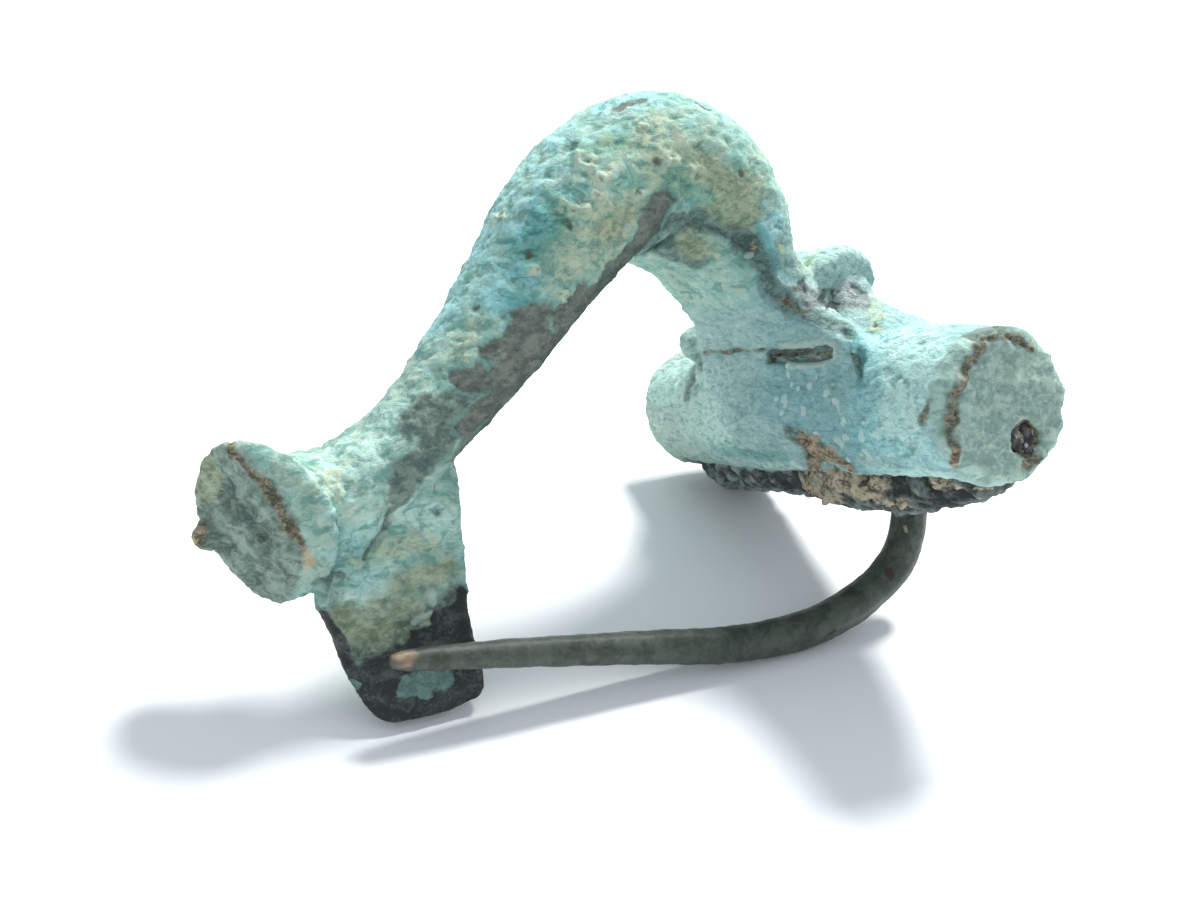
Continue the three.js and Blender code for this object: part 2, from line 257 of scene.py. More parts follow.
casting = {
    "voxel": 0.12,  # mesh spacing while it is sculpted
    "soften": 8,  # rounds of smoothing, which wear the edges
    "swell": 0.05,  # makes up for what the smoothing takes
    "triangles": 190000,
    "wander": 0.75,  # how far a brush strays from its line, in brush radii
    "paintEdge": (0.42, 0.58),  # less paint than the first counts as none, more than the second as full

    # How far the green layer stands over bare metal, and the share of that lost where it is dim or black.
    "crust": 0.1, "dimLoss": 0.4, "blackLoss": 0.7,
    "broadLump": 0.09, "broadSize": 2.4,
    "smallLump": 0.1, "smallSize": 0.8,
    "wrinkle": 0.075, "wrinkleSize": 0.4, "wrinkleMean": 0.3,
    "grit": 0.03, "gritSize": 0.3,
    "pitDepth": 0.16, "pitSize": 1.1,
    "wartHeight": 0.16, "fleckHeight": 0.05, "fleckSize": 0.7, "facetHeight": 0.07, "paleHeight": 0.09,
    "chipHeight": 0.08, "chipSize": 0.55,
    "dirtHeight": 0.06, "dirtLump": 0.2,  # rust, and brown dirt near the end wall
    "wallLump": 0.08, "wallSize": 0.9, "rimHeight": 0.06, "rimLump": 0.16, "rimSize": 1.3,  # near end wall

    # Where its parts begin and end.
    "caseFrom": -6.0, "neckTo": -5.0, "stemFrom": -11.5, "plateTo": -20.0, "catchTo": -23.5,
    "wallInside": 11.0, "wallOutside": 12.75, "endWall": (11.9, 12.7), "rimFrom": 2.6, "rimTo": 3.6,
    "holeRadius": 1.05,
    "farFacet": ((-3.0, 10.3, 1.7), (2.2, 2.6, 1.35)),  # raised patch at the case's far end, painted paler as a painted highlight on a facet: middle, half sizes
    "speckled": [(2.6, (-4.1, -3.0, 0.2), (-4.0, -6.5, -0.6), (-3.9, -11.0, -0.6))],  # stroke of pale flecks
    "slotLow": 2.45, "slotHigh": 3.35, "slotBack": -3.1, "slotFront": -3.5, "slotHalf": 6.9, "slotFill": 0.4,

    # Crust that levels the far half of the slot and its near end: middle and size of each lump.
    "slotPlugs": (((-3.4, 2.65, 2.9), (0.86, 5.9, 1.0)), ((-3.27, -6.2, 2.9), (0.66, 1.2, 1.0))),
    "holePlug": (-12.15, 1.1, 0.5),  # dirt round the rod in the near end wall: place, radius, thickness

    # The foot's worn near edge is bent back: middle of the disc, its axis, its near side, where the bend
    # begins, how far it goes back and in, and the depths and radii over which that fades.
    "footMiddle": (-30.35, 0.0, -1.6), "footAxis": (0.878, 0.391, 0.276), "footNear": (0.407, -0.914, 0.0),
    "bendShift": 1.8, "bendFrom": 3.9, "bendBy": 0.55, "bendIn": 0.35, "bendDepth": (0.8, 2.4),
    "bendRadius": (4.0, 4.4),
    # A cone that fills the flare behind that edge: radius at each end, length, how far back and nearer.
    "flareCone": (3.2, 1.9, 4.2, 2.6, 0.45), "flareSquash": 0.82, "flareSides": 48,
    "blendFrom": 0.45, "blendTo": 4.6, "blend": 70,  # depths behind the disc that are smoothed more, rounds
    "footWeb": ((-28.5, -1.0, -4.8), 0.6),  # lump where the foot's lower edge meets the plate: middle, radius
}

# What is painted and sculpted: each stroke is a brush radius and its points.
castingStrokes = {
    "bare": [  # dark metal where the green layer is gone: the bow's lower edge, under the knee, the stem
        (0.6, (-11.3, -3.1, 9.4), (-13.0, -2.7, 8.0), (-15.0, -2.5, 6.2), (-17.0, -2.4, 4.4),
         (-19.6, -2.4, 2.8), (-21.4, -2.2, 1.4)),
        (0.7, (-10.9, -3.4, 10.7), (-11.4, -3.2, 9.8)),
        (0.5, (-15.4, -2.8, 6.7), (-16.4, -2.7, 5.8)),
        (1.05, (-17.9, -2.8, 5.8), (-18.9, -2.7, 4.5)),
        (0.5, (-21.4, -2.5, 3.6), (-19.2, -2.6, 3.5)),
        (0.26, (-12.0, -2.0, 15.0), (-10.6, -2.1, 15.5)),
        (0.2, (-7.8, -2.5, 15.1), (-7.5, -2.6, 14.9)),
    ],
    "shade": [  # painted shade in crevices and along lower edges, and a darker band where the plate turns black; soft at its edges
        (0.62, (-11.0, -2.9, 9.3), (-9.2, -2.8, 9.9), (-7.6, -2.9, 9.5), (-6.3, -2.9, 8.7)),
        (0.55, (-6.3, -2.9, 8.7), (-5.5, -3.2, 7.4), (-5.2, -3.4, 6.1), (-4.6, -3.6, 5.3)),
        (0.42, (-4.6, -3.6, 5.3), (-3.6, -4.1, 4.8), (-2.9, -5.3, 4.1)),
        (0.18, (-2.9, -5.3, 4.1), (-3.3, -6.6, 3.2), (-3.7, -7.4, 1.7)),
        (0.9, (-11.3, -2.2, 9.0), (-14.5, -1.9, 6.2), (-17.6, -1.7, 3.2), (-20.4, -1.5, 1.0)),
        (0.8, (-9.6, -2.0, 8.6), (-8.6, -1.9, 7.9)),
        (0.9, (-28.4, -0.6, -6.6), (-26.4, -0.8, -7.3), (-24.0, -0.9, -7.1), (-21.8, -0.8, -6.2)),
        (0.7, (-28.4, -0.6, -5.6), (-27.4, -0.8, -6.2)),
        (0.3, (-28.6, -1.5, -4.6), (-27.4, -0.8, -4.4)),
        (0.5, (-4.2, -2.4, -0.9), (-3.9, -4.2, -1.4), (-3.3, -5.4, -2.5)),
        (0.4, (-3.4, -3.2, -3.0), (-2.6, -0.8, -3.2), (-2.6, 2.5, -3.3)),
        (0.42, (-3.0, 8.2, 3.3), (-3.2, 7.4, 2.4), (-3.5, 7.5, 1.0)),
        (0.42, (-3.0, -12.5, 0.6), (-3.0, -12.4, -1.4)),
        (0.5, (-31.2, 0.9, 0.4), (-30.9, 0.2, -1.0), (-30.4, -0.5, -2.4)),
    ],
    "dusk": [  # a little darker and bluer over a wide place
        (2.2, (-3.9, -2.0, 1.6), (-3.9, -5.0, 0.0), (-3.8, -6.6, -1.4)),
        (1.0, (-5.6, -3.0, 7.6), (-4.4, -4.0, 5.0)),
        (0.9, (-3.2, -7.2, 3.0), (-3.8, -7.8, 0.6)),
        (1.2, (-27.6, -1.7, -2.6), (-26.4, -1.4, -3.4)),
        (1.2, (-16.6, -2.8, 10.2), (-18.6, -2.6, 7.4)),
    ],
    "dim": [  # half gone, so dark green-grey
        (0.42, (-1.2, -12.5, 3.3), (-0.2, -12.6, 3.3), (0.8, -12.6, 3.0)),
        (1.15, (-23.2, -2.3, 2.0), (-21.4, -2.3, 1.7)),
        (0.6, (-22.4, -2.3, 1.3), (-23.4, -2.3, 0.6), (-24.3, -2.2, -0.1), (-24.7, -1.9, -1.1)),
        (0.3, (-24.7, -1.9, -1.1), (-25.0, -1.0, -2.4)),
        (0.12, (-25.0, -0.9, -2.4), (-25.8, -0.8, -3.2), (-26.1, -0.8, -3.6)),
        (0.7, (-19.0, -2.7, 3.9), (-21.4, -2.4, 2.6)),
        (1.3, (-28.3, -0.6, -8.0), (-27.2, -0.8, -8.6), (-25.6, -0.8, -8.0)),
        (0.7, (-22.3, -0.7, -6.3), (-22.0, -0.8, -7.4)),
        (0.55, (-31.3, 1.4, -0.6), (-31.2, 0.8, -1.0)),
        (0.4, (-30.6, -0.2, -1.9), (-30.3, -0.5, -2.2)),
    ],
    "cream": [  # chalky deposits
        (1.8, (-13.4, -3.1, 12.3), (-11.4, -3.4, 12.9), (-9.4, -3.5, 12.2)),
        (1.3, (-8.2, -3.5, 11.3), (-6.8, -3.4, 10.6), (-5.8, -3.4, 11.0)),
        (1.5, (-14.4, -3.1, 10.2), (-16.2, -3.0, 8.4)),
        (0.9, (-12.6, -3.1, 10.3), (-14.0, -2.9, 8.5)),
        (0.9, (-20.4, -2.6, 6.2), (-21.3, -2.5, 4.9)),
        (0.5, (-16.2, -2.9, 7.1), (-16.5, -2.9, 6.7)),
        (0.75, (-3.2, -2.8, 7.3), (-2.0, -1.8, 7.6)),
        (0.3, (-4.6, -3.4, 8.6), (-4.4, -3.5, 7.2)),
        (0.5, (-1.4, -6.3, 4.1), (-0.2, -4.6, 5.0)),
        (0.3, (-3.5, -12.3, 0.8), (-3.4, -12.4, 0.5)),
        (0.35, (-8.4, -2.5, 8.3), (-7.8, -2.6, 8.1)),
        (1.2, (-27.6, -1.9, 0.2), (-27.4, -1.7, -1.6)),
        (0.5, (-26.6, -0.7, -3.8), (-23.0, -0.7, -3.2)),
    ],
    "blue": [  # bluer green
        (1.7, (-11.6, -1.6, 15.4), (-15.2, -1.2, 13.5), (-17.6, -0.4, 11.3), (-19.2, 0.2, 9.0),
         (-20.8, 0.4, 6.8)),
        (1.1, (-15.6, -2.6, 11.9), (-17.4, -2.7, 9.4), (-18.4, -2.7, 7.6), (-19.8, -2.7, 6.3)),
        (2.2, (-1.6, -8.4, 3.4), (-2.6, -10.4, 2.0), (-3.6, -9.6, -0.4)),
        (1.0, (-9.0, -3.4, 10.6), (-7.0, -3.2, 9.8), (-5.4, -3.3, 9.2)),
        (1.2, (0.8, -1.6, 7.2), (1.4, 1.0, 7.0)),
    ],
    "olive": [
        (0.6, (-9.2, -2.6, 8.9), (-8.6, -2.4, 8.4)),
        (0.8, (-8.6, -3.5, 12.2), (-7.4, -3.5, 11.2), (-6.4, -3.4, 10.2)),
        (0.6, (-12.6, -3.2, 10.6), (-14.0, -3.0, 9.4)),
        (0.9, (-26.8, -0.8, -6.2), (-25.6, -0.8, -6.4), (-24.4, -0.8, -6.1)),
        (0.5, (-24.6, -0.7, -5.0), (-22.2, -0.7, -4.7)),
        (0.7, (-31.8, 1.4, 1.2), (-31.9, 2.2, 0.0)),
        (0.6, (-7.6, -3.4, 10.0), (-6.4, -3.3, 9.6)),
    ],
    "brown": [
        (0.16, (-0.9, -12.7, 3.0), (0.9, -12.8, 2.9), (1.7, -12.9, 2.3)),
        (0.3, (-1.2, -12.8, 2.7), (-2.2, -12.8, 1.9), (-3.0, -12.7, 0.7)),
        (0.28, (-3.0, -12.7, 0.7), (-3.2, -12.7, -0.6), (-3.0, -12.6, -1.6)),
        (0.3, (-3.6, -12.2, 0.4), (-4.0, -11.8, -0.3)),
        (0.26, (1.6, -12.9, -2.7), (0.8, -12.9, -2.8)),
        (0.2, (-31.5, 0.1, 2.4), (-30.8, -0.8, 1.1), (-30.2, -1.4, 0.3)),
        (0.3, (-30.7, -1.0, 0.8), (-30.2, -1.4, 0.2), (-29.9, -1.6, -0.6)),
        (0.24, (-29.9, -1.6, -0.6), (-29.5, -1.8, -1.8), (-29.2, -1.8, -2.6)),
        (0.14, (-3.7, 5.4, 3.3), (-3.85, -0.4, 3.32)),
        (0.34, (-3.4, -0.6, 2.9), (-3.4, -5.2, 2.9)),
        (0.2, (-4.7, -3.5, 5.6), (-3.9, -4.0, 4.9)),
    ],
    "light": [  # a paler, chalkier green
        (1.8, (-1.2, -1.9, 7.4), (-0.6, 0.0, 7.8), (-0.4, 3.0, 7.6)),
        (1.2, (-14.4, -3.0, 12.2), (-13.0, -3.3, 12.0)),
        (1.6, (-2.0, -8.6, 3.2), (-2.6, -11.0, 2.0), (-3.4, -10.2, 0.4)),
        (1.4, (-26.9, -1.8, 1.0), (-27.6, -1.7, -1.0), (-27.0, -1.5, -2.6)),
        (1.0, (-24.6, -2.2, 2.4), (-25.8, -2.1, 1.0)),
        (0.8, (-24.0, -0.7, -1.6), (-22.2, -0.7, -2.6)),
        (0.7, (-25.4, -0.7, -4.4), (-27.4, -0.9, -5.2)),
        (1.8, (-3.9, 7.5, 0.8), (-3.9, 5.0, -0.6)),
        (0.5, (-3.0, -7.2, -2.9), (-2.6, -10.0, -3.0), (-2.0, -11.8, -2.8)),
        (0.35, (-3.6, 4.0, -2.6), (-3.4, -1.4, -2.8)),
        (0.6, (0.9, -12.9, 1.2), (2.4, -12.9, 0.9)),
    ],
    "rust": [
        (0.5, (-4.1, -3.3, -1.1), (-3.6, -3.1, -1.9), (-2.9, -2.6, -2.5)),
        (0.34, (-3.8, -4.6, -1.8), (-3.2, -5.6, -2.4)),
        (0.26, (-4.3, -3.6, 6.5), (-4.1, -3.7, 6.1)),
        (0.13, (-5.9, -3.0, 8.3), (-5.8, -3.0, 8.2)),
        (0.8, (-4.1, -3.6, -1.5), (-3.2, -3.6, -2.6)),
        (0.2, (-3.0, -12.7, -1.6), (-2.9, -12.4, -2.3)),
        (0.4, (-32.1, 2.7, -1.7), (-31.9, 2.9, -2.0)),
    ],
    "copper": [
        (0.34, (-29.3, -1.8, -2.9), (-29.0, -1.7, -3.5)),
        (0.14, (-3.9, -5.0, -1.5), (-3.85, -5.3, -1.7)),
    ],
    "black": [
        (1.2, (-26.0, -0.9, -9.0), (-24.0, -0.9, -8.2), (-21.8, -0.9, -7.6)),
        (1.5, (-28.0, -0.9, -10.4), (-25.0, -1.0, -10.8), (-22.0, -1.0, -9.8)),
        (0.6, (-28.1, -0.4, -6.2), (-27.8, -0.4, -7.2), (-27.4, -0.6, -8.6), (-26.8, -0.8, -9.8)),
        (0.8, (-28.0, -0.8, -9.4), (-26.4, -0.9, -9.3)),
        (0.4, (-21.7, -0.7, -6.0), (-21.8, -0.8, -7.0)),
    ],
    "teal": [
        (0.45, (-25.1, -1.1, -9.5), (-24.3, -1.2, -9.2), (-23.2, -1.2, -9.5)),
        (0.2, (-24.4, -1.1, -9.9), (-24.0, -1.1, -10.0)),
        (0.25, (-27.6, -0.8, -8.8), (-27.2, -0.9, -9.0)),
        (0.25, (-3.0, -5.9, 3.8), (-3.3, -7.0, 2.9), (-3.7, -7.4, 1.7)),
        (0.4, (-9.2, -3.3, 10.5), (-7.4, -3.2, 10.1), (-5.8, -3.2, 9.0), (-5.0, -3.4, 7.4)),
        (0.7, (-11.0, -3.3, 10.8), (-10.0, -3.4, 11.6), (-9.0, -3.5, 11.2)),
        (0.6, (-14.6, -2.8, 13.0), (-12.6, -3.0, 13.4)),
        (0.9, (-16.2, -2.9, 10.6), (-17.4, -2.8, 9.0)),
        (0.3, (-9.2, -2.3, 7.9), (-8.0, -2.5, 7.5)),
        (0.4, (-13.2, -3.1, 11.4), (-12.2, -3.3, 11.7)),
        (0.4, (-15.4, -3.0, 11.6), (-14.8, -3.1, 11.5)),
        (0.3, (-18.6, -2.7, 6.9), (-17.4, -2.8, 6.6)),
        (0.35, (-3.6, 6.0, -2.0), (-3.5, -1.0, -2.1)),
    ],
    "pale": [
        (0.16, (-3.8, -1.4, 3.45), (-3.7, -4.8, 3.45), (-3.6, -5.6, 3.25), (-3.6, -5.75, 2.8)),
        (0.16, (-3.6, -5.75, 2.8), (-3.7, -5.2, 2.4), (-3.85, -2.2, 2.38)),
        (0.16, (-6.3, -3.0, 7.9), (-6.0, -3.0, 7.9)),
        (0.2, (-23.3, -0.8, -5.5), (-23.2, -0.8, -6.1)),
        (0.14, (-24.2, -0.8, -6.8), (-23.4, -0.8, -6.5)),
        (0.24, (-4.0, -5.8, -1.1), (-4.0, -6.1, -1.5)),
        (0.22, (-3.9, -8.0, -1.7), (-3.8, -8.6, -2.0)),
        (0.3, (-3.7, -6.6, -2.2), (-3.5, -7.6, -2.5)),
        (0.13, (1.5, -12.9, 1.0), (1.7, -12.9, 1.0)),
    ],
    "grey": [  # shiny worn metal
        (0.9, (-3.2, -3.9, 5.9), (-2.0, -3.7, 5.4), (-0.7, -3.7, 5.4)),
    ],
}
warts = [  # chalky lumps with a brown hollow: radius, middle
    (0.62, (-14.4, -2.8, 12.6)), (0.42, (-13.8, -3.1, 12.0)), (0.5, (-14.3, -3.2, 11.1)),
    (0.72, (-15.5, -3.1, 10.5)), (0.5, (-17.8, -1.0, 10.6)), (0.62, (-10.4, -3.5, 12.6)),
    (0.62, (-8.9, -3.6, 11.7)), (0.36, (-8.0, -3.5, 12.2)), (0.4, (-11.4, -3.0, 14.1)),
    (0.42, (-16.3, -2.9, 6.9)), (0.5, (-20.6, -2.6, 5.9)), (0.45, (-21.1, -2.5, 5.0)),
    (0.4, (-12.2, -3.3, 11.2)), (0.42, (-13.2, -3.1, 9.6)), (0.4, (-19.6, -2.7, 4.4)),
    (0.4, (-17.6, -2.8, 7.9)), (0.45, (-15.6, 2.9, 10.4)), (0.55, (-10.8, 3.3, 12.3)),
    (0.5, (-8.6, 3.4, 11.2)), (0.5, (-19.6, 2.6, 6.4)),
]
dents = [  # depth, brush radius, points
    (0.14, 0.2, (-15.4, -2.1, 12.8), (-14.5, -2.1, 13.5)),  # in the bow's upper edge
    (0.24, 0.26, (-3.0, -5.9, 3.8), (-3.3, -7.0, 2.9), (-3.7, -7.4, 1.9)),  # crease beside the fan
    (0.32, 0.4, (-4.1, -3.2, -1.0), (-3.5, -2.9, -1.9), (-2.7, -2.6, -2.7)),  # nick in the case's edge
    (0.16, 0.18, (-24.7, -1.2, -2.0), (-25.4, -0.8, -3.0), (-26.1, -0.8, -3.6)),  # between stem and plate
    (0.3, 0.45, (-31.3, 1.4, -0.6), (-31.2, 0.8, -1.0)),  # dimples in the foot
    (0.22, 0.36, (-30.4, -0.5, -1.9), (-30.5, -0.2, -1.6)),
    (0.16, 0.4, (-30.2, 0.3, -3.3), (-30.1, 0.0, -3.5)),
    (0.2, 0.14, (-23.6, -0.8, -5.4), (-22.9, -0.8, -5.3)),
    (0.25, 0.16, (-22.6, -0.7, -2.0), (-22.4, -0.7, -2.2)),
    (0.2, 0.2, (-10.3, -3.4, 10.9), (-10.1, -3.4, 10.9)),
    (0.12, 0.16, (-3.75, 5.4, 3.3), (-3.85, -0.4, 3.32)),
    # Round the fan.
    (0.16, 0.5, (-11.0, -2.9, 9.3), (-9.2, -2.8, 9.9), (-7.6, -2.9, 9.5), (-6.3, -2.9, 8.7)),
    (0.16, 0.4, (-6.3, -2.9, 8.7), (-5.5, -3.2, 7.4), (-5.2, -3.4, 6.1), (-4.6, -3.6, 5.3)),
]


def warpOf(places):  # a ragged offset for every vertex, about one unit long at most
    ways = []
    for shift in (0.0, 10.0, 20.0):
        ways.append(0.75 * cloudAt(places, 0.9, 3, shift + 3) + 0.35 * cloudAt(places, 0.3, 2, shift + 8))
    return np.stack(ways, axis=1)


def wartRelief(start, warp):  # how far each point lies up a wart, and down its hollow
    raised = np.zeros(len(start))
    hollow = np.zeros(len(start))
    for radius, middle in warts:
        away = (start + warp * radius * 0.9 - np.array(middle)) * (1, 1, 1.25)
        away = np.linalg.norm(away, axis=1) / radius
        raised = np.maximum(raised, 1 - ramp(away, 0.45, 1.15))
        hollow = np.maximum(hollow, 1 - ramp(away, 0.15, 0.5))
    return raised, hollow


def footPlaces(places):  # each point's depth behind the foot's disc, and its way out from the disc's axis
    away = places - np.array(casting["footMiddle"])
    depth = away @ np.array(casting["footAxis"])
    return away, depth, away - depth[:, None] * np.array(casting["footAxis"])


def bentBack(places):  # how far each point lies past the bend in the foot's near edge, and how it moves
    away, depth, outward = footPlaces(places)
    near = away @ np.array(casting["footNear"])
    radius = np.linalg.norm(outward, axis=1)
    high = np.sqrt(np.maximum(radius ** 2 - near ** 2, 0))
    past = np.maximum(np.hypot(near + casting["bendShift"], high) - casting["bendFrom"], 0)
    share = past * (1 - ramp(depth, *casting["bendDepth"])) * (1 - ramp(radius, *casting["bendRadius"]))
    outward /= np.maximum(radius, 0.01)[:, None]
    move = casting["bendBy"] * np.array(casting["footAxis"]) - casting["bendIn"] * outward
    return past, share[:, None] * move


def addLumps(piece):  # crust, dirt and the filled flare, which the remesh makes one skin with the casting
    for middle, size in casting["slotPlugs"]:
        bpy.ops.mesh.primitive_cube_add(size=1, location=middle, scale=size)
        joinTo(piece, bpy.context.active_object)
    wide, narrow, long, back, near = casting["flareCone"]
    axis = Vector(casting["footAxis"]).normalized()
    bpy.ops.mesh.primitive_cone_add(
        vertices=casting["flareSides"], radius1=wide, radius2=narrow, depth=long,
        scale=(1, casting["flareSquash"], 1),
        location=Vector(casting["footMiddle"]) + axis * back + Vector(casting["footNear"]) * near,
        rotation=axis.to_track_quat("Z", "Y").to_euler())
    joinTo(piece, bpy.context.active_object)
    middle, radius = casting["footWeb"]
    bpy.ops.mesh.primitive_uv_sphere_add(radius=radius, location=middle)
    joinTo(piece, bpy.context.active_object)
    place, radius, thick = casting["holePlug"]
    rodX, _, rodZ = standing["rod"]
    bpy.ops.mesh.primitive_cylinder_add(radius=radius, depth=thick, location=(rodX, place, rodZ),
                                        rotation=(math.pi / 2, 0, 0))
    joinTo(piece, bpy.context.active_object)


def blendFlare(piece):  # smooths the step between the disc and the flare behind it
    start = placesOf(piece)
    depth = footPlaces(start)[1]
    inFlare = (depth > casting["blendFrom"]) & (depth < casting["blendTo"]) & (start[:, 1] < 0.5)
    flare = piece.vertex_groups.new(name="flare")
    flare.add(np.flatnonzero(inFlare).tolist(), 1.0, "REPLACE")
    addModifier(piece, "SMOOTH", factor=0.5, iterations=casting["blend"], vertex_group="flare")


def paintOf(start, normals, warp, raised):  # how thickly each kind of wear lies on each point
    x, y, z = start.T
    otherSide = start * (1, -1, 1)
    paint = {name: brushed(start, warp, strokes) for name, strokes in castingStrokes.items()}

    def add(name, values):
        paint[name] = np.maximum(paint[name], values)

    for name in ("bare", "cream", "blue", "dim"):  # the far side of bow and stem is worn like the near one
        add(name, brushed(otherSide, warp, castingStrokes[name]) * (x < casting["neckTo"]) * (y > 0.5))
    add("black", (brushed(otherSide, warp, castingStrokes["black"]) - 0.1) * (x < casting["catchTo"]))
    rodX, _, rodZ = standing["rod"]
    inHole = np.hypot(x - rodX, z - rodZ) < casting["holeRadius"]
    add("brown", 0.9 * (inHole & (y > -casting["wallOutside"]) & (y < -casting["wallInside"])))
    # Faces of the bow that point down get dark bare metal: wear, and also painted shade on the underside.
    underside = ramp(-normals[:, 2], 0.2, 0.7) * (x < casting["stemFrom"]) * (z > 0)
    add("bare", 0.62 * underside)
    add("cream", 0.9 * raised * (z > 0))
    return paint


def partsOf(start, normals, small):  # the parts of the casting, each 1 inside and 0 outside
    x, y, z = start.T
    onCase = x > casting["caseFrom"]
    endWall = ramp(-y, *casting["endWall"]) * onCase
    across = np.hypot(x, z)
    middle, halfSizes = casting["farFacet"]
    fromFacet = np.linalg.norm((start - middle) / halfSizes, axis=1)
    return {
        "case": onCase,
        "bow": 1 - ramp(x, -6.5, -5) * (1 - ramp(z, 9, 11)),
        "plate": ramp(-z, 2.5, 3.5) * (x < casting["plateTo"]),
        "endWall": endWall,
        "rim": endWall * ramp(across, casting["rimFrom"], casting["rimTo"]),
        "edge": endWall * ramp(across, 3.0, 3.5),
        "farFacet": 1 - ramp(fromFacet + 0.04 * small, 0.94, 1.0),
        "foot": ramp(-x, 20, 23),
        "footFace": ramp(-(x + 0.36 * y + 0.36 * z), 30.1, 30.6),
        "slot": ((z > casting["slotLow"]) & (z < casting["slotHigh"])
                 & (y < -0.3) & (y > -casting["slotHalf"]) & (normals[:, 0] < -0.7)
                 & (x < casting["slotBack"]) & (x > casting["slotFront"])),
    }


def makeCasting():
    piece = copyOfNode("brooch_body", "castingWithPatina")
    addLumps(piece)
    addModifier(piece, "REMESH", mode="VOXEL", voxel_size=casting["voxel"])
    addModifier(piece, "SMOOTH", factor=0.5, iterations=casting["soften"])
    blendFlare(piece)
    start = placesOf(piece)
    normals = normalsOf(piece)
    print("  casting is sculpted with", len(start), "vertices")
    y, z = start.T[1:]
    pastBend, bend = bentBack(start)

    broad = cloudAt(start, casting["broadSize"], 2, 3.0)
    small = cloudAt(start, casting["smallSize"], 3, 7.0, (1, 1, 1.3))
    fine = np.abs(cloudAt(start, casting["wrinkleSize"], 3, 1.0, (1, 1, 1.5))) - casting["wrinkleMean"]
    grit = cloudAt(start, casting["gritSize"], 2, 4.0)
    warp = warpOf(start)
    raised, hollow = wartRelief(start, warp)
    part = partsOf(start, normals, small)
    paint = paintOf(start, normals, warp, raised)
    area = {name: ramp(values, *casting["paintEdge"]) for name, values in paint.items()}

    # What stands on it or is eaten into it.
    rough = 0.8 + 0.25 * part["bow"]
    rough *= (1 - 0.5 * area["bare"]) * (1 - 0.65 * area["black"]) * (1 - 0.3 * part["plate"])
    near, number = cellsAt(start + 0.25 * warp, casting["pitSize"])
    holed = ramp(number, 0.1, 0.5) * (1 - ramp(near, 0.05, 0.35))
    pits = np.maximum(holed * (0.2 + 0.8 * area["cream"]) * rough, 0.6 * hollow)
    near, number = cellsAt(start + 0.3 * warp, casting["fleckSize"], 5.0)
    speckled = ramp(brushed(start, warp, casting["speckled"]), 0.3, 0.6)
    flecks = ramp(number, 0.0, 0.2) * (1 - ramp(near, 0.22, 0.42)) * speckled
    chips = cellsAt(start + 0.2 * warp, casting["chipSize"], 2.0)[1]
    dirt = np.maximum(area["rust"], area["brown"] * (y < -10))
    wallLumps = cloudAt(start, casting["wallSize"], 3, 12.0)
    rimLumps = cloudAt(start, casting["rimSize"], 2, 8.0)

    lost = area["bare"] + casting["dimLoss"] * area["dim"] + casting["blackLoss"] * area["black"]
    height = casting["swell"] - casting["crust"] * lost
    height += casting["broadLump"] * broad
    height += rough * (casting["smallLump"] * small + casting["wrinkle"] * fine)
    height += casting["grit"] * grit
    height -= casting["pitDepth"] * pits
    height += casting["wartHeight"] * raised * (z > -1) * (1 + 0.6 * small)
    height += casting["fleckHeight"] * flecks + casting["facetHeight"] * part["farFacet"]
    height += (casting["dirtHeight"] + casting["dirtLump"] * small) * dirt
    height += casting["paleHeight"] * area["pale"]
    height += casting["chipHeight"] * (chips - 0.3) * area["grey"]
    height += part["slot"] * (casting["slotFill"] + 0.3 * small)
    height += part["endWall"] * casting["wallLump"] * wallLumps
    height += part["rim"] * (casting["rimHeight"] + casting["rimLump"] * rimLumps)
    for depth, radius, *points in dents:
        height -= depth * (1 - ramp(awayFrom(start + 0.4 * radius * warp, points) / radius, 0.3, 1.3))
    setPlaces(piece, start + normals * height[:, None] + bend)

    for name, values in paint.items():
        keep(piece, name, values)
    keep(piece, "relief", 0.5 + 2.0 * (small * 0.1 + fine * 0.1 + grit * 0.04 + raised * 0.05 - pits * 0.1))
    keep(piece, "pits", pits)
    keep(piece, "wartRing", (raised - 1.3 * hollow) * (z > -1))
    keep(piece, "flecks", flecks)
    keep(piece, "chips", 0.5 + 0.5 * chips)
    # the paler far half of the case, and the painted highlight on its far facet
    keep(piece, "farMintAndFacetHighlight", np.maximum(part["farFacet"], 0.45 * ramp(y, 3, 12) * part["case"]))
    keep(piece, "endFace", part["endWall"])
    keep(piece, "endRim", part["edge"])
    keep(piece, "onBow", part["bow"])
    keep(piece, "sandy", part["foot"])
    keep(piece, "footDish", part["footFace"] * (1 - ramp(pastBend, 0.0, 0.35)))
    thinTo(piece, casting["triangles"])
    print("  and keeps", len(piece.data.polygons), "triangles")
    piece.data.materials.append(patina())
    layDown(piece, "casting", "patinated_bronze", "brooch_body")


